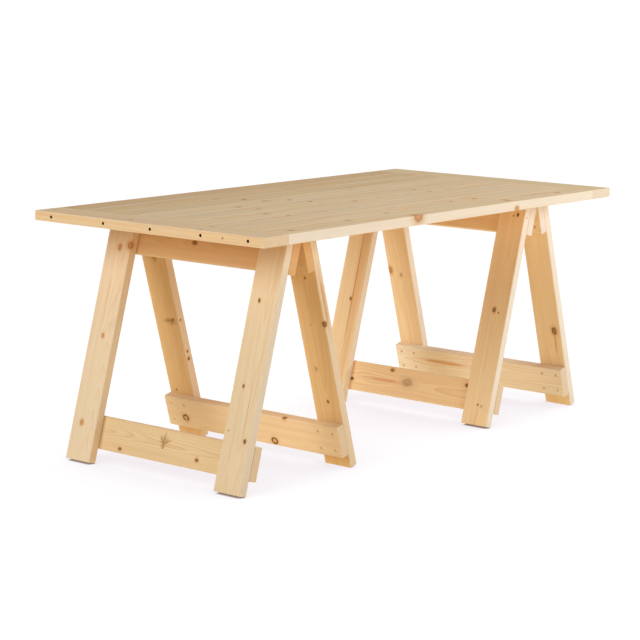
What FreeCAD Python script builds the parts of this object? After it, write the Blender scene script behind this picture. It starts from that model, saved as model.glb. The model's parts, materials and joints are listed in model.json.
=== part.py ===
import FreeCAD, Part
import math
import os

# Folding trestle table: two hinged pine trestles carry a loose pine top.
# Millimetres. X runs along the top, Y from front to back, Z up from the floor.
# The origin lies on the floor under the middle of the top.

# Driving dimensions: the top
TABLE_HEIGHT = 710.0
TOP_LENGTH = 1660.0
TOP_THICKNESS = 28.0
TOP_BOARD_COUNT = 9
TOP_BOARD_WIDTH = 95.0
CLEAT_WIDTH = 100.0
TOP_ARRIS = 1.0

# Driving dimensions: the trestles, each standing this far in from its end of the top
TOP_OVERHANG = 265.0
TRESTLE_DEPTH = 665.0
SPLAY_DEG = 16.0
LEG_WIDTH = 95.0
LEG_THICKNESS = 28.0
TOP_RAIL_WIDTH = 95.0
LOWER_RAIL_WIDTH = 95.0
RAIL_THICKNESS = 28.0
LOWER_RAIL_RISE = 43.0
RAIL_GAP = 2.0
FRAME_ARRIS = 2.0

# Driving dimensions: the butt hinges on the top rails
HINGE_SPACING = 380.0
HINGE_LENGTH = 75.0
LEAF_THICKNESS = 2.0
LEAF_SETBACK = 4.0
BARREL_RADIUS = 4.0
BARREL_LIFT = 0.5
KNUCKLE_COUNT = 3
KNUCKLE_GAP = 0.3
PIN_RADIUS = 2.0
PIN_CLEARANCE = 0.05

# Driving dimensions: the screws, drawn like their holes with flat sides because there are so many
SCREW_SIDES = 6
COUNTERBORE_SIDES = 10
SCREW_CLEARANCE = 0.1
FRAME_SCREW_RADIUS = 2.5
FRAME_SCREW_HEAD = 4.5
FRAME_SCREW_PITCH = 52.0
FRAME_SCREW_COVER = 6.0
HINGE_SCREW_RADIUS = 1.6
HINGE_SCREW_HEAD = 3.2
HINGE_SCREW_LENGTH = 25.0
HINGE_SCREW_PITCH = 45.0
CLEAT_SCREW_RADIUS = 2.5
CLEAT_SCREW_HEAD = 3.8
CLEAT_SCREW_BITE = 55.0
CLEAT_COUNTERBORE = 40.0

# One screw goes into every other top board; each was drilled by eye,
# this far from the front edge of its board.
CLEAT_SCREW_INSETS = (54.0, 31.0, 26.0, 14.0, 30.0)

# Sizes that follow from the driving dimensions
V = FreeCAD.Vector
ORIGIN = V(0, 0, 0)
X_AXIS = V(1, 0, 0)
Y_AXIS = V(0, 1, 0)
Z_AXIS = V(0, 0, 1)

splay = math.radians(SPLAY_DEG)
top_width = TOP_BOARD_COUNT * TOP_BOARD_WIDTH
underside = TABLE_HEIGHT - TOP_THICKNESS
board_length = TOP_LENGTH - 2 * CLEAT_WIDTH
trestle_middle = TOP_LENGTH / 2 - TOP_OVERHANG

# A frame is drawn upright, as when the trestle is folded, with the hinge pin
# at the origin and the frame on the pin's +X side.
rail_inner = RAIL_GAP / 2
leg_inner = rail_inner + RAIL_THICKNESS
frame_top = -(BARREL_RADIUS + BARREL_LIFT)
leaf_start = BARREL_RADIUS + KNUCKLE_GAP
leaf_end = leg_inner - LEAF_SETBACK
leg_length = (underside - LEG_THICKNESS * math.sin(splay)) / math.cos(splay)
leg_foot = frame_top - leg_length
front = -TRESTLE_DEPTH / 2

# The legs are cut square, so an open trestle stands on the legs' inner bottom edges.
pin_height = -leg_foot * math.cos(splay) - leg_inner * math.sin(splay)


def edges_along(shape, axis):
    found = []
    for edge in shape.Edges:
        run = edge.Vertexes[-1].Point - edge.Vertexes[0].Point
        if run.Length > 0 and run.normalize().cross(axis).Length < 0.001:
            found.append(edge)
    return found


def planed_board(low, size, grain, arris):
    """A board with the four long arrises along its grain taken off; its ends stay as sawn."""
    blank = Part.makeBox(size.x, size.y, size.z, low)
    return blank.makeChamfer(arris, edges_along(blank, grain))


def flat_face(corners):
    return Part.Face(Part.makePolygon(corners + corners[:1]))


def faceted_rod(stations, sides):
    """A flat-sided rod along +X through (x, radius) stations."""
    rings = []
    for x, radius in stations:
        ring = []
        for count in range(sides):
            angle = 2 * math.pi * (count + 0.5) / sides
            ring.append(V(x, radius * math.cos(angle), radius * math.sin(angle)))
        rings.append(ring)
    faces = [flat_face(rings[0]), flat_face(rings[-1])]
    for near, far in zip(rings, rings[1:]):
        for here in range(sides):
            after = (here + 1) % sides
            faces.append(flat_face([near[here], near[after], far[after], far[here]]))
    return Part.makeSolid(Part.makeShell(faces))


def screw(radius, head, length):
    """A countersunk wood screw along +X, its head's face at the origin."""
    cone = head - radius
    return faceted_rod([(0, head), (cone, radius), (length, radius)], SCREW_SIDES)


def screw_hole(radius, head, length):
    return screw(radius + SCREW_CLEARANCE, head + SCREW_CLEARANCE, length + SCREW_CLEARANCE)


def moved(shape, place):
    copy = shape.copy()
    copy.translate(place)
    return copy


def turned(shape, axis, degrees):
    copy = shape.copy()
    copy.rotate(ORIGIN, axis, degrees)
    return copy


def at_places(shape, places):
    return [moved(shape, place) for place in places]


# The frames' pieces, drawn upright on the +X side of the pin

def legs():
    size = V(LEG_THICKNESS, LEG_WIDTH, leg_length)
    lows = {"front_leg": front, "back_leg": -front - LEG_WIDTH}
    pieces = {}
    for name, y in lows.items():
        pieces[name] = planed_board(V(leg_inner, y, leg_foot), size, Z_AXIS, FRAME_ARRIS)
    return pieces


def rails():
    top_low = V(rail_inner, front, frame_top - TOP_RAIL_WIDTH)
    top_size = V(RAIL_THICKNESS, TRESTLE_DEPTH, TOP_RAIL_WIDTH)
    lower_low = V(rail_inner, front, leg_foot + LOWER_RAIL_RISE)
    lower_size = V(RAIL_THICKNESS, TRESTLE_DEPTH, LOWER_RAIL_WIDTH)
    return {
        "top_rail": planed_board(top_low, top_size, Y_AXIS, FRAME_ARRIS),
        "lower_rail": planed_board(lower_low, lower_size, Y_AXIS, FRAME_ARRIS),
    }


def frame_screw_places():
    """Four screws in a square hold each rail to each leg, driven from the rail's inner face."""
    half = FRAME_SCREW_PITCH / 2
    leg_middle = -front - LEG_WIDTH / 2
    rail_middles = (frame_top - TOP_RAIL_WIDTH / 2, leg_foot + LOWER_RAIL_RISE + LOWER_RAIL_WIDTH / 2)
    places = []
    for y in (-leg_middle, leg_middle):
        for z in rail_middles:
            for dy in (-half, half):
                for dz in (-half, half):
                    places.append(V(rail_inner, y + dy, z + dz))
    return places


def hinge_middles():
    return {"front": -HINGE_SPACING / 2, "back": HINGE_SPACING / 2}


def hinge_screw_places(y_middle):
    """Two screws through each leaf, along the middle of its plate."""
    half = HINGE_SCREW_PITCH / 2
    x = (leaf_start + leaf_end) / 2
    return [V(x, y_middle + dy, frame_top + LEAF_THICKNESS) for dy in (-half, half)]


def hinge_leaf(y_middle, own_knuckles):
    """A leaf lies on its rail's top edge and is rolled into knuckles round the pin."""
    y_low = y_middle - HINGE_LENGTH / 2
    plate_low = V(leaf_start, y_low, frame_top)
    leaf = Part.makeBox(leaf_end - leaf_start, HINGE_LENGTH, LEAF_THICKNESS, plate_low)
    pitch = HINGE_LENGTH / KNUCKLE_COUNT
    knuckle_length = pitch - KNUCKLE_GAP
    for index in own_knuckles:
        start = y_low + index * pitch + KNUCKLE_GAP / 2
        barrel = Part.makeCylinder(BARREL_RADIUS, knuckle_length, V(0, start, 0), Y_AXIS)
        root = Part.makeBox(leaf_start, knuckle_length, LEAF_THICKNESS, V(0, start, frame_top))
        leaf = leaf.fuse([barrel, root])
    bore = Part.makeCylinder(PIN_RADIUS + PIN_CLEARANCE, HINGE_LENGTH, V(0, y_low, 0), Y_AXIS)
    return leaf.cut(bore).removeSplitter()


def hinge_pin(y_middle):
    return Part.makeCylinder(PIN_RADIUS, HINGE_LENGTH, V(0, y_middle - HINGE_LENGTH / 2, 0), Y_AXIS)


def frame_pieces(own_knuckles):
    """All pieces of one frame, by name, upright on the +X side of the pin."""
    frame_screw_length = RAIL_THICKNESS + LEG_THICKNESS - FRAME_SCREW_COVER
    frame_screw_sizes = (FRAME_SCREW_RADIUS, FRAME_SCREW_HEAD, frame_screw_length)
    hinge_screw_sizes = (HINGE_SCREW_RADIUS, HINGE_SCREW_HEAD, HINGE_SCREW_LENGTH)
    down = 90
    hinge_screw = turned(screw(*hinge_screw_sizes), Y_AXIS, down)
    hinge_hole = turned(screw_hole(*hinge_screw_sizes), Y_AXIS, down)

    joint_places = frame_screw_places()
    leaf_places = []
    for y_middle in hinge_middles().values():
        leaf_places += hinge_screw_places(y_middle)
    joint_holes = at_places(screw_hole(*frame_screw_sizes), joint_places)
    leaf_holes = at_places(hinge_hole, leaf_places)

    pieces = {}
    for name, leg in legs().items():
        pieces[name] = leg.cut(joint_holes)
    for name, rail in rails().items():
        pieces[name] = rail.cut(joint_holes + leaf_holes)
    for end, y_middle in hinge_middles().items():
        leaf = hinge_leaf(y_middle, own_knuckles)
        pieces[end + "_hinge_leaf"] = leaf.cut(leaf_holes)
    pieces["frame_screws"] = Part.makeCompound(at_places(screw(*frame_screw_sizes), joint_places))
    pieces["hinge_screws"] = Part.makeCompound(at_places(hinge_screw, leaf_places))
    return pieces


def opened(piece, side, trestle_x):
    """Swings an upright piece open about the pin, on the -X or +X side of its trestle."""
    swung = turned(piece, -Y_AXIS, SPLAY_DEG)
    if side < 0:
        swung.rotate(ORIGIN, Z_AXIS, 180)
    swung.translate(V(trestle_x, 0, pin_height))
    return swung


def swapped_ends(name):
    """A half turn about Z brings a piece drawn at the front to the back."""
    if name.startswith("front_"):
        return name.replace("front_", "back_", 1)
    return name.replace("back_", "front_", 1)


def trestles():
    outer_knuckles = range(0, KNUCKLE_COUNT, 2)
    inner_knuckles = range(1, KNUCKLE_COUNT, 2)
    frames = {"outer": frame_pieces(outer_knuckles), "inner": frame_pieces(inner_knuckles)}
    nodes = {}
    for trestle, end in (("left", -1), ("right", 1)):
        trestle_x = end * trestle_middle
        for frame, side in (("outer", end), ("inner", -end)):
            for name, piece in frames[frame].items():
                place = swapped_ends(name) if side < 0 else name
                nodes[f"{trestle}_{frame}_{place}"] = opened(piece, side, trestle_x)
        for end_name, y_middle in hinge_middles().items():
            pin = moved(hinge_pin(y_middle), V(trestle_x, 0, pin_height))
            nodes[f"{trestle}_{end_name}_hinge_pin"] = pin
    return nodes


# The loose top: long boards glued edge to edge between two end cleats

def cleat_screw_rows():
    """The y of each cleat screw: one in every other board, counted from the front."""
    rows = []
    for count, inset in enumerate(CLEAT_SCREW_INSETS):
        rows.append(-top_width / 2 + 2 * count * TOP_BOARD_WIDTH + inset)
    return rows


def table_top():
    screw_length = CLEAT_WIDTH - CLEAT_COUNTERBORE + CLEAT_SCREW_BITE
    sizes = (CLEAT_SCREW_RADIUS, CLEAT_SCREW_HEAD, screw_length)
    bore_radius = CLEAT_SCREW_HEAD + SCREW_CLEARANCE
    bore = [(-CLEAT_COUNTERBORE, bore_radius), (0, bore_radius)]
    counterbore = faceted_rod(bore, COUNTERBORE_SIDES)
    hole = screw_hole(*sizes).fuse(counterbore)
    middle = TABLE_HEIGHT - TOP_THICKNESS / 2
    head_x = -TOP_LENGTH / 2 + CLEAT_COUNTERBORE
    places = [V(head_x, y, middle) for y in cleat_screw_rows()]
    left_screws = at_places(screw(*sizes), places)
    left_holes = at_places(hole, places)

    # The right end repeats the left one, mirrored in the plane across the top's middle.
    right_screws = [one.mirror(ORIGIN, X_AXIS) for one in left_screws]
    right_holes = [one.mirror(ORIGIN, X_AXIS) for one in left_holes]

    nodes = {}
    for count in range(TOP_BOARD_COUNT):
        low = V(-board_length / 2, -top_width / 2 + count * TOP_BOARD_WIDTH, underside)
        plank = planed_board(low, V(board_length, TOP_BOARD_WIDTH, TOP_THICKNESS), X_AXIS, TOP_ARRIS)
        nodes[f"top_board_{count + 1}"] = plank.cut(left_holes + right_holes)
    cleat_size = V(CLEAT_WIDTH, top_width, TOP_THICKNESS)
    left_low = V(-TOP_LENGTH / 2, -top_width / 2, underside)
    right_low = V(board_length / 2, -top_width / 2, underside)
    nodes["left_end_cleat"] = planed_board(left_low, cleat_size, Y_AXIS, TOP_ARRIS).cut(left_holes)
    nodes["right_end_cleat"] = planed_board(right_low, cleat_size, Y_AXIS, TOP_ARRIS).cut(right_holes)
    nodes["left_end_cleat_screws"] = Part.makeCompound(left_screws)
    nodes["right_end_cleat_screws"] = Part.makeCompound(right_screws)
    return nodes


def main():
    os.makedirs("parts", exist_ok=True)
    nodes = table_top()
    nodes.update(trestles())
    for name, shape in nodes.items():
        shape.exportStep(f"parts/{name}.step")
    print(f"{len(nodes)} nodes, leg length {leg_length:.2f}, pin height {pin_height:.3f}")


main()
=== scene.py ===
import json
import math
import random
from collections import namedtuple

import bpy
from mathutils import Matrix, Vector


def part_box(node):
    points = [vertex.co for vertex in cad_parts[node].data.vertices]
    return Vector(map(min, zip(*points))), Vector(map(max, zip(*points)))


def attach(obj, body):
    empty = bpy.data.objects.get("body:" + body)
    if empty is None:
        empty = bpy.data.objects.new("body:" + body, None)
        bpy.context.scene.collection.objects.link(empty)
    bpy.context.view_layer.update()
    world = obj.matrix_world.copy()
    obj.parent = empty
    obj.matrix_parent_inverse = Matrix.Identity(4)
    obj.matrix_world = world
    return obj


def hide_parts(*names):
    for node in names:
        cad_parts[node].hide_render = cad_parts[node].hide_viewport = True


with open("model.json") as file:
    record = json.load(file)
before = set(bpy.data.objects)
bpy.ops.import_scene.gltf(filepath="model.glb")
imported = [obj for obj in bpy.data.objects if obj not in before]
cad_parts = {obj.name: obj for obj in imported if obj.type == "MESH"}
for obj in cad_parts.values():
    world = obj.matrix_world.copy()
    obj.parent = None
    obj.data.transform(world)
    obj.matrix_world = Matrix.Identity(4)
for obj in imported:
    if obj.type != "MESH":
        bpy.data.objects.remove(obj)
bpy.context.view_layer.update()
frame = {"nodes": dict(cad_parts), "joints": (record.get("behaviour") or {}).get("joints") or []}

# Folding trestle table in bare planed pine. Metres, in the same frame as the solids:
# X along the top, Y from front to back, Z up from the floor.

MM = 0.001
X_AXIS = Vector((1, 0, 0))
Y_AXIS = Vector((0, 1, 0))

# Camera, found by matching the solids' corners to the photograph
CAMERA_PLACE = (-4.8543, -3.9439, 1.4208)
CAMERA_YAW = 50.42
CAMERA_PITCH = -9.80
CAMERA_ROLL = 0.55
CAMERA_LENS = 118.3
CAMERA_SENSOR = 36.0

# Light: a level of 1 shows a white surface that faces the lamp as white
SKY_LEVEL = 0.02
Lamp = namedtuple("Lamp", "name level colour azimuth elevation spread")
LAMPS = (
    Lamp("left_softbox", 0.61, (0.98, 1.0, 1.02), -102.0, 26.0, 36.0),
    Lamp("right_softbox", 0.35, (1.03, 1.0, 0.93), 82.0, 40.0, 30.0),
)
NearLamp = namedtuple("NearLamp", "name watts colour place aim size")
NEAR_LAMPS = (
    NearLamp("front_left_softbox", 17.0, (0.96, 1.0, 1.05), (-1.0, -2.6, 1.4), (0.2, 0.0, 0.4), 1.2),
    NearLamp("front_right_softbox", 30.0, (0.94, 1.0, 1.08), (1.9, -2.4, 1.4), (0.3, 0.0, 0.4), 1.2),
)

# Floor: what it throws back on the table, a warm glow of its own that lights the table as painted light,
# and the white that the camera sees, with soft shadows
FLOOR_REACH = 60.0
FLOOR_GREY = (0.50, 0.50, 0.50, 1.0)
FLOOR_WARM_GLOW = 0.51
FLOOR_WARM_GLOW_COLOUR = (1.0, 0.80, 0.44, 1.0)
WHITE = (1.0, 1.0, 1.0, 1.0)
FLOOR_GLOW = 0.96
FLOOR_SHADE = (0.14, 0.14, 0.14, 1.0)
SHADOW_SAMPLES = 16
SHADOW_REACH = 0.8
SHADOW_FADE = (0.30, 0.95)
SHADOW_COLOUR = (0.84, 0.81, 0.86, 1.0)
FOOT_SHADOW_REACH = 0.025
FOOT_SHADOW_FADE = (0.0, 0.45)
FOOT_SHADOW_COLOUR = (0.16, 0.11, 0.09, 1.0)


def srgb(red, green, blue):
    """A colour as seen on a screen, 0 to 255, as the linear colour that a shader takes."""
    def linear(level):
        share = level / 255
        return share / 12.92 if share <= 0.04045 else ((share + 0.055) / 1.055) ** 2.4
    return (linear(red), linear(green), linear(blue), 1.0)


def tinted(colour, tint):
    """The colour with its red, green and blue each changed by a share."""
    return tuple(level * share for level, share in zip(colour, tint)) + (1.0,)


# Pine colours
EARLY_WOOD = srgb(240, 211, 166)
LATE_WOOD = srgb(216, 168, 108)
HEART_WOOD = srgb(224, 168, 106)
WEATHERED = srgb(224, 202, 168)
GREY_GRAIN = srgb(216, 188, 156)
PALE_GRAIN = srgb(238, 212, 182)
FOOT_GRAIN = srgb(190, 154, 112)
# Near white end grain: painted light on ends that face the lamps
PAINTED_LIGHT_END_GRAIN = srgb(244, 234, 224)
# Painted light on the narrow edge faces of legs and top boards
PAINTED_EDGE_LIGHT = srgb(250, 237, 221)
# Painted sheen along the long arrises, where light catches them
PAINTED_ARRIS_SHEEN = srgb(248, 230, 204)
BARK_BROWN = srgb(70, 38, 18)
KNOT_BROWN = srgb(128, 78, 40)
KNOT_AMBER = srgb(206, 136, 66)
KNOT_GREY = srgb(146, 110, 72)
STAIN_AMBER = srgb(224, 164, 96)
STAIN_RED = srgb(222, 150, 104)
STAIN_OCHRE = srgb(188, 142, 80)
# Painted shade for the cleats' deep screw holes
PAINTED_HOLE_SHADE = srgb(84, 58, 40)

# Growth rings, in mm, round a pith that lies over or under the board
RING_WIDTHS = (2.8, 4.6)
RING_STOPS = ((0.0, 0.05), (0.45, 0.12), (0.82, 0.75), (0.93, 1.0), (1.0, 0.05))
FAINTEST_YEAR = 0.5
PITH_DEPTHS = (30.0, 95.0)
PITH_OFFSET = 36.0
PITH_LEAN = 0.035
DRIFT_REACH = 17.0
RIPPLE_REACH = 1.5

# Noise: its middle level, and how finely it is broken up
MID_NOISE = 0.5
COARSE = 1.0
FINE = 2.0

# Uneven wood: patterns per mm along, across and through a board
DRIFT_SIZE = (1 / 430, 1 / 75, 1 / 75)
RIPPLE_SIZE = (1 / 60, 1 / 9, 1 / 9)
RAGGED_SIZE = (1 / 11, 1 / 6, 1 / 6)
STREAK_SIZE = (1 / 620, 1 / 15, 1 / 15)
PATCH_SIZE = (1 / 240, 1 / 17, 1 / 17)
FIBRE_SIZE = (1 / 40, 1 / 0.8, 1 / 0.8)
PATTERN_SHIFT = 50.0
STREAK_FADE = (0.42, 0.80)
PATCH_FADE = (0.46, 0.66)
TONE_CHANCE = (0.98, 1.01)

# Surface: mm for skins and holes, and shares
EDGE_SKIN = 0.6
END_SKIN = 0.3
HEART_SHARE = 0.8
ARRIS_SHEEN_SHARE = 0.6
FIBRE_SHARE = 0.16
CLEAT_HOLE = 4.0
CLEAT_HOLE_RIM = 1.0
PINE_ROUGHNESS = 0.62
FIBRE_ROUGHNESS = 0.12
LATE_GLOSS = 0.08
PINE_SHINE = 0.1
GRAIN_BUMP = 0.35
GRAIN_DEPTH = 0.4 * MM
LATE_RIDGE = 0.6

# Knots: distances as shares of a knot's radius, and the width of a knot's own rings in mm
KNOT_BEND = 3.2
KNOT_PUSH = 1.2
KNOT_HALO_FADE = (0.8, 2.6)
KNOT_CORE_FADE = (0.70, 1.05)
KNOT_RIM_START = (0.50, 0.85)
KNOT_RIM_END = (0.95, 1.25)
KNOT_RING = 1.3
KNOT_RING_SHADE = 0.3

# Whorls: distances as shares of a star's size
STAR_STROKES = (4.2, 4.2, 0.0)
STAR_LEAN = 0.35
STAR_REACH = 1.3
STAR_SHORTEST = -0.1
STAR_FADE = (-0.5, 0.2)
STROKE_FADE = (0.45, 0.65)
STAR_STAIN = 0.55
STAR_DARK = 0.8
STAR_TIP_DARK = 0.15
STAR_DARK_REACH = 0.9

# Metal: a colour and its cloudy tone, and patterns per m
ZINC_PLATE = (srgb(198, 200, 202), srgb(172, 174, 178))
YELLOW_ZINC = (srgb(226, 194, 140), srgb(196, 160, 104))
# Near black steel for the cleat screws deep in their holes: painted shade
HOLE_SHADE_STEEL = (srgb(70, 64, 60), srgb(48, 44, 42))
CLOUD_SIZE = (160, 160, 160)
CLOUD_DETAIL = 3.0
CLOUD_FADE = (0.30, 0.80)
SCRATCH_SIZE = (2600, 300, 2600)
STEEL_ROUGHNESS = 0.30
CLOUD_ROUGHNESS = 0.2
SCRATCH_ROUGHNESS = 0.1


# Shader tools

class Wire:
    """A node's output. Arithmetic on it adds Math nodes."""

    def __init__(self, finish, socket):
        self.finish = finish
        self.socket = socket

    def __add__(self, other):
        return self.finish.maths("ADD", self, other)

    def __sub__(self, other):
        return self.finish.maths("SUBTRACT", self, other)

    def __rsub__(self, other):
        return self.finish.maths("SUBTRACT", other, self)

    def __mul__(self, other):
        return self.finish.maths("MULTIPLY", self, other)

    def __truediv__(self, other):
        return self.finish.maths("DIVIDE", self, other)

    def __rtruediv__(self, other):
        return self.finish.maths("DIVIDE", other, self)

    def __abs__(self):
        return self.finish.maths("ABSOLUTE", self)

    __radd__ = __add__
    __rmul__ = __mul__


class Finish:
    """The nodes of a material or of the world, in the making."""

    def __init__(self, owner):
        owner.use_nodes = True
        self.owner = owner
        self.tree = owner.node_tree

    def feed(self, socket, value):
        if isinstance(value, Wire):
            self.tree.links.new(value.socket, socket)
        else:
            socket.default_value = value

    def node(self, kind, settings, sockets, output=0):
        """Adds a node: its settings first, then the values or wires of its sockets."""
        made = self.tree.nodes.new(kind)
        for setting, value in settings.items():
            if setting == "stops":
                set_stops(made.color_ramp, value)
            else:
                setattr(made, setting, value)
        for socket, value in sockets.items():
            self.feed(made.inputs[socket], value)
        return Wire(self, made.outputs[output]) if made.outputs else None

    def show(self, **inputs):
        """Sets the inputs of the shader that a new material comes with, and gives the material."""
        shader = self.tree.nodes["Principled BSDF"]
        for name, value in inputs.items():
            self.feed(shader.inputs[name.replace("_", " ")], value)
        return self.owner

    def maths(self, operation, first, second=0.0):
        return self.node("ShaderNodeMath", {"operation": operation}, {0: first, 1: second})

    def vector(self, operation, first, second=(0, 0, 0), output=0):
        return self.node("ShaderNodeVectorMath", {"operation": operation}, {0: first, 1: second}, output)

    def length(self, vector):
        return self.vector("LENGTH", vector, output="Value")

    def scaled(self, vector, size, shift):
        return self.node(
            "ShaderNodeVectorMath", {"operation": "MULTIPLY_ADD"}, {0: vector, 1: size, 2: shift}
        )

    def split(self, vector):
        return [self.node("ShaderNodeSeparateXYZ", {}, {0: vector}, axis) for axis in range(3)]

    def noise(self, place, size, shift, detail, output="Fac"):
        spot = self.scaled(place, size, shift)
        return self.node(
            "ShaderNodeTexNoise", {}, {"Vector": spot, "Scale": 1.0, "Detail": detail}, output
        )

    def wobble(self, place, size, shift):
        """A vector of noise about zero, to push a pattern to and fro."""
        noise = self.noise(place, size, shift, COARSE, "Color")
        return self.vector("SUBTRACT", noise, (MID_NOISE, MID_NOISE, MID_NOISE))

    def fade(self, value, ends, low=0.0, high=1.0):
        """Goes smoothly from low to high between the two ends."""
        return self.node(
            "ShaderNodeMapRange",
            {"interpolation_type": "SMOOTHSTEP"},
            {"Value": value, "From Min": ends[0], "From Max": ends[1], "To Min": low, "To Max": high},
        )

    def mix(self, share, under, over, blend="MIX"):
        return self.node(
            "ShaderNodeMix", {"data_type": "RGBA", "blend_type": blend}, {0: share, 6: under, 7: over}, 2
        )


def set_stops(ramp, stops):
    while len(ramp.elements) < len(stops):
        ramp.elements.new(1.0)
    for element, (place, level) in zip(ramp.elements, stops):
        element.position = place
        element.color = (level, level, level, 1.0)


def new_finish(name):
    return Finish(bpy.data.materials.new(name))


def wear(node, material):
    node.data.materials.clear()
    node.data.materials.append(material)


# Boards: where each lies and which way its grain runs

Board = namedtuple("Board", "name middle along across half_length half_width half_thickness")
joints = {joint["name"]: joint for joint in frame["joints"]}


def middle_of(name):
    low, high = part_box(name)
    return (low + high) / 2


def reach(name, middle, axis):
    """How far the node goes from the middle along the axis."""
    return max(abs((vertex.co - middle).dot(axis)) for vertex in frame["nodes"][name].data.vertices)


def measured_board(name, along, across):
    middle = middle_of(name)
    sizes = [reach(name, middle, axis) / MM for axis in (along, across, along.cross(across))]
    return Board(name, middle, along, across, *sizes)


def up_the_frame(trestle, side):
    """The way up a frame's splayed legs, from its fold joint."""
    fold = joints[f"{trestle}_{side}_fold"]
    splay = math.radians(fold["range_deg"][1])
    return Vector((-fold["axis"][1] * math.sin(splay), 0, math.cos(splay)))


def all_boards():
    boards = []
    for name in frame["nodes"]:
        if name.startswith("top_board_"):
            boards.append(measured_board(name, X_AXIS, Y_AXIS))
        elif name.endswith("_end_cleat"):
            boards.append(measured_board(name, Y_AXIS, X_AXIS))
        elif name.endswith("_leg"):
            boards.append(measured_board(name, up_the_frame(*name.split("_")[:2]), Y_AXIS))
        elif name.endswith("_rail"):
            boards.append(measured_board(name, Y_AXIS, up_the_frame(*name.split("_")[:2])))
    return sorted(boards)


# Knots and streaks: mm along and across a board from its middle, and the radius. A knot that comes
# in at an edge also has its place through the board. Along is up a leg, to the right on a top board,
# and to the back on a rail or cleat. Across is up a rail, to the right on a cleat, and to the back
# on a leg or top board.

Knot = namedtuple("Knot", "kind along across radius through", defaults=(None,))
KnotKind = namedtuple("KnotKind", "core rim halo core_share rim_share halo_share stretch ragged")
KNOT_KINDS = {
    "ring": KnotKind(KNOT_AMBER, BARK_BROWN, STAIN_AMBER, 0.55, 0.92, 0.45, 1.1, 0.25),
    "dark": KnotKind(BARK_BROWN, BARK_BROWN, STAIN_AMBER, 0.90, 0.60, 0.50, 1.4, 0.30),
    "brown": KnotKind(KNOT_BROWN, BARK_BROWN, STAIN_AMBER, 0.85, 0.60, 0.50, 1.4, 0.35),
    "amber": KnotKind(KNOT_AMBER, KNOT_BROWN, STAIN_AMBER, 0.75, 0.40, 0.60, 1.4, 0.30),
    "grey": KnotKind(KNOT_GREY, KNOT_BROWN, KNOT_GREY, 0.45, 0.22, 0.16, 1.5, 0.45),
    "smear": KnotKind(KNOT_BROWN, KNOT_BROWN, STAIN_AMBER, 0.60, 0.20, 0.35, 2.0, 0.50),
    "pin": KnotKind(BARK_BROWN, BARK_BROWN, STAIN_AMBER, 0.85, 0.30, 0.25, 1.2, 0.20),
    "red_streak": KnotKind(STAIN_RED, STAIN_RED, STAIN_RED, 0.60, 0.10, 0.30, 14.0, 0.30),
    "amber_streak": KnotKind(STAIN_AMBER, KNOT_AMBER, STAIN_AMBER, 0.75, 0.35, 0.40, 14.0, 0.30),
    "band": KnotKind(STAIN_AMBER, STAIN_AMBER, STAIN_AMBER, 0.30, 0.03, 0.08, 36.0, 0.40),
    "crack": KnotKind(KNOT_AMBER, KNOT_BROWN, STAIN_AMBER, 0.80, 0.20, 0.45, 90.0, 0.50),
}
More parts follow.
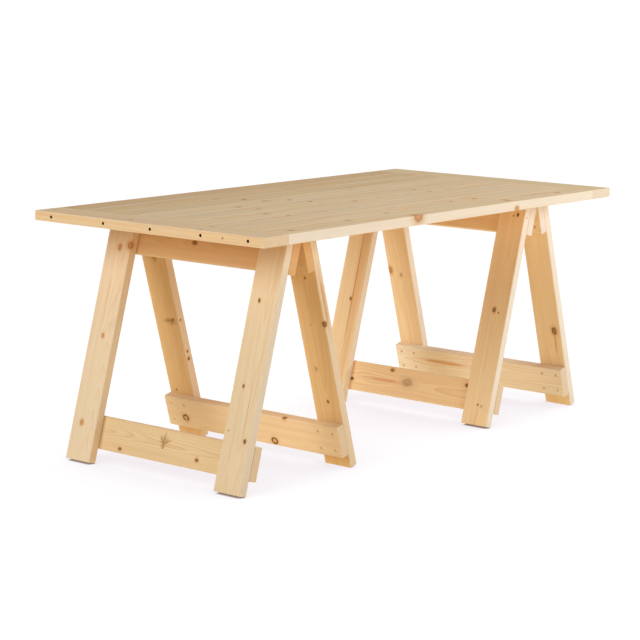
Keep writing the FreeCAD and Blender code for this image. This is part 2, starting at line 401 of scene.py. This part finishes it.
KNOTS = {
    "left_outer_front_leg": (
        Knot("dark", 173, 12, 4), Knot("dark", -60, 10, 3.5), Knot("dark", -205, -30, 4.5),
        Knot("pin", -184, 33, 2), Knot("crack", -120, -20, 0.8),
    ),
    "left_outer_back_leg": (
        Knot("amber", 266, -7, 6), Knot("amber", 275, -47, 7, 14), Knot("amber", 10, -7, 4.5),
        Knot("amber", -243, 10, 5.5), Knot("crack", 120, 4, 0.6),
    ),
    "left_outer_lower_rail": (
        Knot("brown", 156, -35, 4.5), Knot("brown", -135, -21, 4.5),
        Knot("pin", -3, -8, 2.2), Knot("pin", -5, -3, 2.8), Knot("pin", -5, 3, 2.2),
    ),
    "left_outer_top_rail": (Knot("brown", 23, 5, 6),),
    "left_inner_back_leg": (
        Knot("pin", 30, -24, 3.5), Knot("pin", 33, -29, 2.5), Knot("pin", 30, -47, 3, 4),
        Knot("grey", 228, -4, 7), Knot("pin", -202, 20, 3), Knot("brown", -95, -47, 4, 3),
        Knot("dark", -72, -47, 3, 2),
    ),
    "left_inner_front_leg": (
        Knot("pin", 227, -6, 3.5), Knot("grey", 257, 6, 4), Knot("dark", 251, -21, 4.5),
        Knot("pin", 85, 5, 2), Knot("brown", 93, -47, 6, 14), Knot("grey", -51, 15, 4),
        Knot("dark", -149, -7, 3.5), Knot("amber_streak", 155, -47, 4, 0),
    ),
    "left_inner_lower_rail": (
        Knot("ring", 260, -15, 10), Knot("ring", -85, -33, 10), Knot("brown", -138, 47, 5, -10),
    ),
    "right_inner_front_leg": (
        Knot("brown", 9, 1, 5.5), Knot("pin", 2, -17, 2.5), Knot("pin", -288, -3, 3),
        Knot("grey", -291, -17, 2.5), Knot("pin", 306, -7, 2.5), Knot("dark", 310, -22, 4),
        Knot("pin", 305, -47, 2, 0),
    ),
    "right_inner_back_leg": (
        Knot("dark", -18, -8, 4), Knot("band", 20, -27, 11), Knot("crack", 40, -14, 2),
    ),
    "right_inner_lower_rail": (
        Knot("brown", 78, 36, 5), Knot("grey", 12, 4, 12), Knot("dark", -217, 27, 5),
        Knot("dark", 232, -12, 4.5), Knot("red_streak", 104, 0, 4),
    ),
    "right_outer_back_leg": (Knot("grey", 39, -4, 5), Knot("amber", 53, 39, 8)),
    "right_outer_front_leg": (Knot("brown", -90, -24, 9), Knot("amber_streak", -130, -24, 2)),
    "right_outer_lower_rail": (Knot("amber_streak", 139, 8, 5),),
    "top_board_1": (
        Knot("smear", -402, 21, 6), Knot("smear", -664, 2, 6), Knot("amber", -172, -47, 13, 14),
        Knot("smear", 598, -4, 6), Knot("amber", 314, -47, 6, -8),
    ),
    "top_board_2": (
        Knot("pin", 165, -10, 4), Knot("pin", 176, 4, 3), Knot("smear", 280, -10, 6),
        Knot("smear", -190, -40, 5),
    ),
    "top_board_3": (Knot("brown", -430, 23, 4),),
    "top_board_4": (Knot("smear", -440, 0, 6), Knot("smear", -20, 19, 5), Knot("grey", 347, 17, 6)),
    "top_board_5": (Knot("brown", -125, 7, 5), Knot("smear", -371, -6, 6), Knot("smear", 347, -17, 5)),
    "top_board_6": (Knot("grey", -206, 16, 9), Knot("brown", -134, -14, 5), Knot("smear", -373, -25, 6)),
    "top_board_7": (Knot("brown", -222, -7, 6), Knot("smear", 247, -35, 5)),
    "top_board_8": (Knot("smear", -270, -35, 6),),
    "left_end_cleat": (
        Knot("pin", -285, -50, 2.5, 0), Knot("grey", -172, 33, 5), Knot("smear", -195, -37, 4),
        Knot("smear", 83, -17, 4),
    ),
}

# Whorls: a ring of thin side branches, cut lengthways, that shows as a star of short strokes.
# Places and sizes in mm, and the lean in radians from across the board.
Star = namedtuple("Star", "along across length width lean")
STARS = {
    "left_outer_lower_rail": (Star(-3, 4, 30, 28, 0.3),),
    "left_inner_back_leg": (Star(32, -26, 20, 44, 0.9),),
}

# Looks: how strongly a board's rings, broad streaks and weathered patches show, how many mm of painted
# sheen lie along its arrises (wear), how much painted light pales its narrow edges, the colour and share
# of its end grain, which on some rails is painted light or shade, and, where it lies heart side down,
# whether down is with (1) or against (-1) the way through the board
Look = namedtuple("Look", "rings streaks patches wear pale_edge end end_share heart_side", defaults=(0,))
# A look's wear is the width in mm of the painted sheen along its arrises
TOP_BOARD = Look(
    rings=0.60, streaks=0.75, patches=0.70, wear=7.0,
    pale_edge=0.75, end=GREY_GRAIN, end_share=0.7, heart_side=-1,
)
CLEAT = Look(
    rings=0.34, streaks=0.40, patches=0.35, wear=4.0,
    pale_edge=0.0, end=PALE_GRAIN, end_share=0.6, heart_side=1,
)
PLAIN_LEG = Look(
    rings=0.36, streaks=0.28, patches=0.12, wear=2.5,
    pale_edge=0.45, end=FOOT_GRAIN, end_share=0.7,
)
PLAIN_RAIL = PLAIN_LEG._replace(pale_edge=0.0, end=PALE_GRAIN, end_share=0.55)
# The right trestle's legs get the most painted light on their edges
PAINTED_LIGHT_LEG = PLAIN_LEG._replace(pale_edge=0.9)
PALE_RAIL = PLAIN_RAIL._replace(end_share=0.8)
LOOKS = {
    "top_board": TOP_BOARD,
    "left_end_cleat": CLEAT,
    # The right cleat's end is near white as painted light
    "right_end_cleat": CLEAT._replace(end=PAINTED_LIGHT_END_GRAIN, end_share=0.5),
    "left_outer_front_leg": PLAIN_LEG,
    "left_outer_back_leg": PLAIN_LEG._replace(pale_edge=0.0),
    "left_inner_front_leg": PLAIN_LEG,
    "left_inner_back_leg": PLAIN_LEG,
    "right_outer_front_leg": PAINTED_LIGHT_LEG,
    "right_outer_back_leg": PAINTED_LIGHT_LEG,
    "right_inner_front_leg": PAINTED_LIGHT_LEG,
    "right_inner_back_leg": PAINTED_LIGHT_LEG,
    # The left top rails' ends, shaded by the top, take heart wood: partly end grain's own dark, partly
    # painted shade
    "left_outer_top_rail": PLAIN_RAIL._replace(end=HEART_WOOD),
    "left_inner_top_rail": PLAIN_RAIL._replace(end=HEART_WOOD),
    "left_outer_lower_rail": PLAIN_RAIL._replace(rings=0.70),
    "left_inner_lower_rail": PLAIN_RAIL,
    # The right top rails' ends are near white as painted light
    "right_outer_top_rail": PALE_RAIL._replace(end=PAINTED_LIGHT_END_GRAIN),
    "right_inner_top_rail": PALE_RAIL._replace(end=PAINTED_LIGHT_END_GRAIN),
    "right_outer_lower_rail": PALE_RAIL._replace(rings=0.70),
    "right_inner_lower_rail": PALE_RAIL._replace(rings=0.80),
}

# Board tones: shares of red, green and blue. Beside the boards' own differences, they paint light and
# shade: the left inner frame and the left outer top rail are darker and more orange as painted shade, and
# the left outer legs and the right trestle, most of all its outer lower rail, are paler as painted light.
# The top's back boards are darker.
TONES_AND_PAINTED_LIGHT = {
    "top_board": (1.05, 1.06, 1.10),
    "top_board_5": (1.02, 1.02, 1.04),
    "top_board_7": (0.95, 0.93, 0.90),
    "top_board_8": (0.92, 0.88, 0.83),
    "top_board_9": (0.87, 0.81, 0.74),
    "left_end_cleat": (0.99, 0.99, 0.99),
    "right_end_cleat": (0.97, 0.96, 0.95),
    "left_outer_front_leg": (0.93, 0.99, 1.11),
    "left_outer_back_leg": (1.01, 1.10, 1.28),
    "left_outer_top_rail": (0.96, 0.88, 0.77),
    "left_outer_lower_rail": (0.98, 0.99, 1.0),
    "left_inner": (0.97, 0.86, 0.73),
    "left_inner_lower_rail": (0.98, 1.0, 1.05),
    "right": (1.13, 1.15, 1.19),
    "right_outer_lower_rail": (1.14, 1.31, 1.76),
    "right_inner_front_leg": (1.14, 1.19, 1.24),
    "right_inner_back_leg": (1.12, 1.18, 1.23),
}


def chosen(table, name):
    """What the table gives for the longest of its entries that the board's name begins with."""
    return table[max((entry for entry in table if name.startswith(entry)), key=len)]


# Pine

def pine(board):
    """Planed pine: growth rings that bend round the knots, and fine fibre."""
    chance = random.Random(board.name)
    finish = new_finish(f"pine_{board.name}")
    shift = tuple(chance.uniform(-PATTERN_SHIFT, PATTERN_SHIFT) for _ in range(3))
    # The board's tone, which for many boards is painted light or shade
    tone_and_painted_light = tuple(share * chance.uniform(*TONE_CHANCE) for share in chosen(TONES_AND_PAINTED_LIGHT, board.name))
    place = board_place(finish, board)
    ragged = finish.wobble(place, RAGGED_SIZE, shift)
    knots = [(knot, knot_reach(finish, board, knot, place, ragged)) for knot in KNOTS.get(board.name, ())]
    late = late_wood(finish, chance, place, shift, knots)
    fibre = finish.noise(place, FIBRE_SIZE, shift, FINE) - MID_NOISE

    colour = bare_wood(finish, board, tone_and_painted_light, place, shift, late)
    for knot, far in knots:
        colour = knotted(finish, colour, knot, far)
    for star in STARS.get(board.name, ()):
        colour = starred(finish, colour, star, place, shift)
    if board.name.endswith("_cleat"):
        # The cleats' screw holes get painted shade
        colour = painted_hole_shade(finish, colour, board, place)
    level = fibre * FIBRE_SHARE + 1
    shade = finish.node("ShaderNodeCombineColor", {}, {0: level, 1: level, 2: level})
    grain = finish.node(
        "ShaderNodeBump",
        {},
        {"Strength": GRAIN_BUMP, "Distance": GRAIN_DEPTH, "Height": late * LATE_RIDGE + fibre},
        "Normal",
    )
    return finish.show(
        Base_Color=finish.mix(1.0, colour, shade, "MULTIPLY"),
        Roughness=PINE_ROUGHNESS + fibre * FIBRE_ROUGHNESS - late * LATE_GLOSS,
        Normal=grain,
        Specular_IOR_Level=PINE_SHINE,
    )


def board_place(finish, board):
    """Where a point lies in its board: mm along, across and through it from its middle."""
    axes = Matrix((board.along, board.across, board.along.cross(board.across))).transposed()
    return finish.node(
        "ShaderNodeMapping",
        {"vector_type": "TEXTURE"},
        {
            "Vector": finish.node("ShaderNodeTexCoord", {}, {}, "Object"),
            "Location": board.middle,
            "Rotation": axes.to_euler(),
            "Scale": (MM, MM, MM),
        },
    )


def late_wood(finish, chance, place, shift, knots):
    """0 in a ring's pale early wood, and up to 1 in its dark late wood, which differs by year."""
    ripple = finish.noise(place, RIPPLE_SIZE, shift, FINE) - MID_NOISE
    rings = pith_distance(finish, chance, place, shift) + ripple * RIPPLE_REACH
    for knot, far in knots:
        rings = rings - finish.fade(far, (0.0, KNOT_BEND), KNOT_PUSH * knot.radius, 0.0)
    count = rings / chance.uniform(*RING_WIDTHS)
    ring = finish.node("ShaderNodeValToRGB", {"stops": RING_STOPS}, {0: finish.maths("FRACT", count)})
    year = finish.node(
        "ShaderNodeTexWhiteNoise",
        {"noise_dimensions": "1D"},
        {"W": finish.maths("FLOOR", count)},
        "Value",
    )
    strength = year * (1 - FAINTEST_YEAR) + FAINTEST_YEAR
    return finish.node("ShaderNodeRGBToBW", {}, {0: ring}) * strength


def pith_distance(finish, chance, place, shift):
    """How far a point lies from the pith, which runs nearly along the board."""
    depth = chance.choice((-1, 1)) * chance.uniform(*PITH_DEPTHS)
    offset = chance.uniform(-PITH_OFFSET, PITH_OFFSET)
    across_lean = chance.uniform(-PITH_LEAN, PITH_LEAN)
    depth_lean = chance.uniform(-PITH_LEAN, PITH_LEAN)
    along, across, through = finish.split(place)
    drift = finish.split(finish.wobble(place, DRIFT_SIZE, shift))
    side = across + drift[0] * DRIFT_REACH + along * across_lean - offset
    below = through + drift[1] * DRIFT_REACH + along * depth_lean - depth
    return finish.maths("SQRT", side * side + below * below)


def bare_wood(finish, board, tone_and_painted_light, place, shift, late):
    """The wood's colour without its knots: rings, streaks, patches and ends, with painted light on its
    edges and painted sheen along its arrises.
    """
    look = chosen(LOOKS, board.name)
    along, across, through = finish.split(place)
    edge = (board.half_width - EDGE_SKIN, board.half_width)
    face = (board.half_thickness - EDGE_SKIN, board.half_thickness)
    streak = finish.fade(finish.noise(place, STREAK_SIZE, shift, FINE), STREAK_FADE, 0.0, look.streaks)
    patch = finish.fade(finish.noise(place, PATCH_SIZE, shift, FINE), PATCH_FADE, 0.0, look.patches)
    end = finish.maths("GREATER_THAN", abs(along), board.half_length - END_SKIN)

    colour = finish.mix(late * look.rings, tinted(EARLY_WOOD, tone_and_painted_light), tinted(LATE_WOOD, tone_and_painted_light))
    colour = finish.mix(streak, colour, tinted(HEART_WOOD, tone_and_painted_light))
    colour = finish.mix(patch, colour, tinted(WEATHERED, tone_and_painted_light))
    colour = finish.mix(end * look.end_share, colour, look.end)
    # Painted light: the narrow edge faces are paled as where the front lamps fall on them
    colour = finish.mix(finish.fade(abs(across), edge) * look.pale_edge, colour, PAINTED_EDGE_LIGHT)
    if look.heart_side:
        heart = finish.fade(through * look.heart_side, face)
        colour = finish.mix(heart * HEART_SHARE, colour, tinted(HEART_WOOD, tone_and_painted_light))
    sheen = painted_arris_sheen(finish, board, look.wear, across, through)
    # Painted sheen: the long arrises are lightened as where light catches them
    return finish.mix(sheen * (1 - end) * ARRIS_SHEEN_SHARE, colour, PAINTED_ARRIS_SHEEN)


def painted_arris_sheen(finish, board, sheen_width, across, through):
    """Where sheen is painted: 1 on the board's long arrises, fading within a few mm."""
    side = finish.fade(abs(across), (board.half_width - sheen_width, board.half_width))
    face = finish.fade(abs(through), (board.half_thickness - sheen_width, board.half_thickness))
    return side * face


def knot_reach(finish, board, knot, place, ragged):
    """A point's distance from the knot's axis, as a share of the knot's radius.
    A knot goes straight through its board, or in at an edge where its place through it is given."""
    kind = KNOT_KINDS[knot.kind]
    axis = Vector((0, 0, 1))
    if knot.through is not None:
        axis = Vector((0, -math.copysign(1, knot.across), -knot.through / board.half_thickness))
        axis.normalize()
    away = finish.vector("SUBTRACT", place, (knot.along, knot.across, knot.through or 0.0))
    away = finish.scaled(ragged, (kind.ragged * knot.radius,) * 3, away)
    away = finish.vector("MULTIPLY", away, (1 / kind.stretch, 1, 1))
    return finish.length(finish.vector("CROSS_PRODUCT", away, axis)) / knot.radius


def knotted(finish, colour, knot, far):
    """Colours a knot over the wood: a stained halo, a core with its own fine rings, and a rim of bark."""
    kind = KNOT_KINDS[knot.kind]
    year = finish.maths("PINGPONG", far * (knot.radius / KNOT_RING), 1.0)
    halo = finish.fade(far, KNOT_HALO_FADE, kind.halo_share, 0.0)
    core = finish.fade(far, KNOT_CORE_FADE, kind.core_share, 0.0) * (1 - year * KNOT_RING_SHADE)
    rim = finish.fade(far, KNOT_RIM_START, 0.0, kind.rim_share) * finish.fade(far, KNOT_RIM_END, 1.0, 0.0)
    colour = finish.mix(halo, colour, kind.halo)
    colour = finish.mix(core, colour, kind.core)
    return finish.mix(rim, colour, kind.rim)


def starred(finish, colour, star, place, shift):
    """Colours a whorl: strokes that spread from one point in an ochre stain, longest along the lean."""
    away = finish.vector("SUBTRACT", place, (star.along, star.across, 0))
    away = finish.vector("MULTIPLY", away, (1 / star.length, 1 / star.width, 0))
    far = finish.length(away)
    heading = finish.vector("NORMALIZE", away)
    strokes = finish.noise(heading, STAR_STROKES, shift, COARSE)
    longest = (-math.sin(star.lean), math.cos(star.lean), 0)
    lean = finish.vector("DOT_PRODUCT", heading, longest, "Value")
    tip = lean * STAR_LEAN + strokes * STAR_REACH + STAR_SHORTEST
    spread = finish.fade(far - tip, STAR_FADE, 1.0, 0.0)
    dark = finish.fade(far, (0.0, STAR_DARK_REACH), STAR_DARK, STAR_TIP_DARK)
    colour = finish.mix(spread * STAR_STAIN, colour, STAIN_OCHRE)
    return finish.mix(finish.fade(strokes, STROKE_FADE) * spread * dark, colour, KNOT_BROWN)


def painted_hole_shade(finish, colour, board, place):
    """Paints shade on the walls of the holes for a cleat's screws, which go in across it, and on a thin
    rim round them.
    """
    outward = X_AXIS * math.copysign(1, board.middle.x)
    for middle in head_middles(f"{board.name}_screws", outward):
        away = (middle - board.middle) / MM
        spot = (away.dot(board.along), 0, away.dot(board.along.cross(board.across)))
        beside = finish.vector("MULTIPLY", finish.vector("SUBTRACT", place, spot), (1, 0, 1))
        hole_shade = finish.fade(finish.length(beside), (CLEAT_HOLE, CLEAT_HOLE + CLEAT_HOLE_RIM), 1.0, 0.0)
        colour = finish.mix(hole_shade, colour, PAINTED_HOLE_SHADE)
    return colour


# Metal

def plated_steel(name, colour, shadow):
    """Plated steel, faintly clouded and scratched."""
    finish = new_finish(name)
    place = finish.node("ShaderNodeTexCoord", {}, {}, "Object")
    cloud = finish.noise(place, CLOUD_SIZE, (0, 0, 0), CLOUD_DETAIL)
    scratch = finish.noise(place, SCRATCH_SIZE, (0, 0, 0), FINE)
    return finish.show(
        Base_Color=finish.mix(finish.fade(cloud, CLOUD_FADE), colour, shadow),
        Metallic=1.0,
        Roughness=STEEL_ROUGHNESS + cloud * CLOUD_ROUGHNESS + scratch * SCRATCH_ROUGHNESS,
    )


# Screws: the solids' flat-sided screws are shown as turned ones with a cross recess. Head, neck and
# recess are radii, the tip and the point are shares of the neck, and the slot is a share of the recess.

Screw = namedtuple("Screw", "head neck length recess")
FRAME_SCREW = Screw(head=4.7 * MM, neck=2.2 * MM, length=50 * MM, recess=2.6 * MM)
HINGE_SCREW = Screw(head=3.3 * MM, neck=1.4 * MM, length=25 * MM, recess=1.9 * MM)
SCREW_FACETS = 32
SCREW_TIP = 0.3
SCREW_POINT = 2.5
SLOT_WIDTH = 0.42
HEAD_RIM = 0.4 * MM
HEAD_SPAN = 12 * MM
FACE_SLACK = 0.1 * MM
MERGE_DIGITS = 6
SMOOTH_ANGLE = 35.0


def select_only(piece):
    bpy.ops.object.select_all(action="DESELECT")
    piece.select_set(True)
    bpy.context.view_layer.objects.active = piece


def drawn_up(rise, widen):
    """Extrudes the selected face upwards and scales it."""
    bpy.ops.mesh.extrude_region_move(TRANSFORM_OT_translate={"value": (0, 0, rise)})
    bpy.ops.transform.resize(value=(widen, widen, 1))


def wood_screw(screw):
    """One countersunk screw, point down, with its head's face at the origin."""
    tip = SCREW_TIP * screw.neck
    point = SCREW_POINT * screw.neck
    cone = screw.head - screw.neck
    bpy.ops.object.select_all(action="DESELECT")
    bpy.ops.mesh.primitive_circle_add(
        vertices=SCREW_FACETS, radius=tip, fill_type="NGON", location=(0, 0, -screw.length)
    )
    made = bpy.context.object
    bpy.ops.object.mode_set(mode="EDIT")
    drawn_up(point, screw.neck / tip)
    drawn_up(screw.length - point - cone - HEAD_RIM, 1.0)
    drawn_up(cone, screw.head / screw.neck)
    drawn_up(HEAD_RIM, 1.0)
    bpy.ops.mesh.inset(thickness=HEAD_RIM, depth=HEAD_RIM / 2)
    bpy.ops.mesh.select_all(action="SELECT")
    bpy.ops.mesh.normals_make_consistent(inside=False)
    bpy.ops.object.mode_set(mode="OBJECT")
    bpy.ops.object.transform_apply(location=True, rotation=True, scale=True)
    for turn in (0, 90):
        cut_slot(made, screw.recess, turn)
    select_only(made)
    bpy.ops.object.shade_smooth_by_angle(angle=math.radians(SMOOTH_ANGLE))
    return made


def cut_slot(made, recess, turn):
    """Cuts one arm of the cross recess, as deep as half the arm's span."""
    bpy.ops.object.select_all(action="DESELECT")
    bpy.ops.mesh.primitive_cube_add(size=1)
    cutter = bpy.context.object
    cutter.scale = (2 * recess, SLOT_WIDTH * recess, 2 * recess)
    cutter.rotation_euler = (0, 0, math.radians(turn))
    bpy.ops.object.transform_apply(location=True, rotation=True, scale=True)
    select_only(made)
    slot = made.modifiers.new("slot", "BOOLEAN")
    slot.operation = "DIFFERENCE"
    slot.solver = "MANIFOLD"
    slot.object = cutter
    bpy.ops.object.modifier_apply(modifier=slot.name)
    bpy.data.objects.remove(cutter)


def head_middles(name, outward):
    """The middle of each head's face in a CAD node of screws that all look outward."""
    vertices = frame["nodes"][name].data.vertices
    corners = sorted({tuple(round(level, MERGE_DIGITS) for level in vertex.co) for vertex in vertices})
    corners = [Vector(corner) for corner in corners]
    face = max(corner.dot(outward) for corner in corners)
    groups = []
    for corner in corners:
        if face - corner.dot(outward) > FACE_SLACK:
            continue
        near = [group for group in groups if (group[0] - corner).length < HEAD_SPAN]
        if near:
            near[0].append(corner)
        else:
            groups.append([corner])
    return [sum(group, Vector()) / len(group) for group in groups]


def drive_screws(name, pattern, outward, body, material):
    """Copies of the pattern screw in place of a CAD node of screws, each turned by chance."""
    chance = random.Random(name)
    bpy.ops.object.select_all(action="DESELECT")
    upright = outward.to_track_quat("Z", "Y").to_matrix().to_4x4()
    for middle in head_middles(name, outward):
        copy = bpy.data.objects.new(name, pattern.data.copy())
        bpy.context.scene.collection.objects.link(copy)
        turn = Matrix.Rotation(chance.uniform(0, math.pi / 2), 4, "Z")
        copy.data.transform(Matrix.Translation(middle) @ upright @ turn)
        copy.select_set(True)
        bpy.context.view_layer.objects.active = copy
    bpy.ops.object.join()
    piece = bpy.context.object
    piece.name = f"{name}_turned"
    wear(piece, material)
    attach(piece, body)
    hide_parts(name)


def all_screws(material):
    frame_screw = wood_screw(FRAME_SCREW)
    hinge_screw = wood_screw(HINGE_SCREW)
    for trestle in ("left", "right"):
        for side in ("outer", "inner"):
            one = f"{trestle}_{side}"
            up = up_the_frame(trestle, side)
            face = up.cross(Y_AXIS)
            to_rail = middle_of(f"{one}_lower_rail") - middle_of(f"{one}_front_leg")
            inward = face * math.copysign(1, to_rail.dot(face))
            drive_screws(f"{one}_frame_screws", frame_screw, inward, f"{one}_frame", material)
            drive_screws(f"{one}_hinge_screws", hinge_screw, up, f"{one}_frame", material)
    for pattern in (frame_screw, hinge_screw):
        bpy.data.objects.remove(pattern)


def dress_nodes():
    for piece in all_boards():
        wear(frame["nodes"][piece.name], pine(piece))
    zinc = plated_steel("zinc_plate", *ZINC_PLATE)
    black_steel = plated_steel("black_steel", *HOLE_SHADE_STEEL)
    yellow_zinc = plated_steel("yellow_zinc", *YELLOW_ZINC)
    for name, node in frame["nodes"].items():
        if name.endswith(("_hinge_leaf", "_hinge_pin")):
            wear(node, zinc)
        # The cleat screws sit deep in their holes; their near black steel paints the holes' shade
        elif name.endswith("_cleat_screws"):
            wear(node, black_steel)
        elif name.endswith("_screws"):
            wear(node, yellow_zinc)
    all_screws(yellow_zinc)


# Stage

def toward(azimuth, elevation):
    """The way to a lamp: azimuth 0 is in front of the table and 90 is on its right."""
    turn, rise = math.radians(azimuth), math.radians(elevation)
    return Vector((math.sin(turn) * math.cos(rise), -math.cos(turn) * math.cos(rise), math.sin(rise)))


def seen_straight(finish):
    """1 for what the camera sees itself, by a mirror or through glass."""
    camera, glossy, through = (
        finish.node("ShaderNodeLightPath", {}, {}, output)
        for output in ("Is Camera Ray", "Is Glossy Ray", "Is Transmission Ray")
    )
    return finish.maths("MAXIMUM", camera, finish.maths("MAXIMUM", glossy, through))


def shaded_within(finish, distance):
    """1 on open floor, and towards 0 where something stands within the distance."""
    return finish.node(
        "ShaderNodeAmbientOcclusion", {"samples": SHADOW_SAMPLES}, {"Distance": distance}, "AO"
    )


def floor_bounce_and_glow(finish):
    """What the floor throws back on the table, and a warm glow that lights the table from below as
    painted light.
    """
    grey = finish.node("ShaderNodeBsdfDiffuse", {}, {"Color": FLOOR_GREY})
    # The floor glows warm: painted light from below, warm as light bounced off wood
    warm_glow = finish.node("ShaderNodeEmission", {}, {"Color": FLOOR_WARM_GLOW_COLOUR, "Strength": FLOOR_WARM_GLOW})
    return finish.node("ShaderNodeAddShader", {}, {0: grey, 1: warm_glow})


def floor_shown(finish):
    """What the camera sees: white, with a soft shadow below the table and a dark line at its feet."""
    around = finish.fade(shaded_within(finish, SHADOW_REACH), SHADOW_FADE)
    below = finish.fade(shaded_within(finish, FOOT_SHADOW_REACH), FOOT_SHADOW_FADE)
    paper = finish.mix(below, FOOT_SHADOW_COLOUR, finish.mix(around, SHADOW_COLOUR, WHITE))
    shade = finish.node("ShaderNodeBsdfDiffuse", {}, {"Color": FLOOR_SHADE})
    glow = finish.node("ShaderNodeEmission", {}, {"Color": paper, "Strength": FLOOR_GLOW})
    return finish.node("ShaderNodeAddShader", {}, {0: shade, 1: glow})


def white_floor():
    bpy.ops.mesh.primitive_plane_add(size=2 * FLOOR_REACH)
    floor = bpy.context.object
    floor.name = "studio_floor"
    finish = new_finish("studio_floor")
    bounce_and_glow = floor_bounce_and_glow(finish)
    shown = floor_shown(finish)
    mixed = finish.node("ShaderNodeMixShader", {}, {0: seen_straight(finish), 1: bounce_and_glow, 2: shown})
    finish.feed(finish.tree.nodes["Material Output"].inputs["Surface"], mixed)
    wear(floor, finish.owner)


def white_sky():
    world = bpy.context.scene.world or bpy.data.worlds.new("studio")
    bpy.context.scene.world = world
    finish = Finish(world)
    finish.tree.nodes.clear()
    light = finish.node("ShaderNodeBackground", {}, {"Color": WHITE, "Strength": SKY_LEVEL})
    shown = finish.node("ShaderNodeBackground", {}, {"Color": WHITE, "Strength": 1.0})
    mixed = finish.node("ShaderNodeMixShader", {}, {0: seen_straight(finish), 1: light, 2: shown})
    finish.node("ShaderNodeOutputWorld", {}, {"Surface": mixed})


def hung(name, light, to_lamp):
    """Puts a lamp in the scene, turned to shine from the way to it."""
    made = bpy.data.objects.new(name, light)
    made.rotation_euler = to_lamp.to_track_quat("Z", "Y").to_euler()
    bpy.context.scene.collection.objects.link(made)
    return made


def softboxes():
    for lamp in LAMPS:
        light = bpy.data.lights.new(lamp.name, "SUN")
        light.energy = lamp.level * math.pi
        light.color = lamp.colour
        light.angle = math.radians(lamp.spread)
        hung(lamp.name, light, toward(lamp.azimuth, lamp.elevation))
    for lamp in NEAR_LAMPS:
        light = bpy.data.lights.new(lamp.name, "AREA")
        light.energy = lamp.watts
        light.color = lamp.colour
        light.size = lamp.size
        made = hung(lamp.name, light, Vector(lamp.place) - Vector(lamp.aim))
        made.location = lamp.place
        made.visible_camera = False


def photo_camera():
    lens = bpy.data.cameras.new("photo_camera")
    lens.sensor_width = CAMERA_SENSOR
    lens.lens = CAMERA_LENS
    lens.clip_end = 4 * FLOOR_REACH
    camera = bpy.data.objects.new("photo_camera", lens)
    turn = Matrix.Rotation(math.radians(-CAMERA_YAW), 4, "Z")
    tip = Matrix.Rotation(math.radians(90 + CAMERA_PITCH), 4, "X")
    roll = Matrix.Rotation(math.radians(CAMERA_ROLL), 4, "Z")
    camera.matrix_world = Matrix.Translation(CAMERA_PLACE) @ turn @ tip @ roll
    bpy.context.scene.collection.objects.link(camera)
    bpy.context.scene.camera = camera


dress_nodes()
white_floor()
white_sky()
softboxes()
photo_camera()
bpy.context.scene.view_settings.view_transform = "Standard"
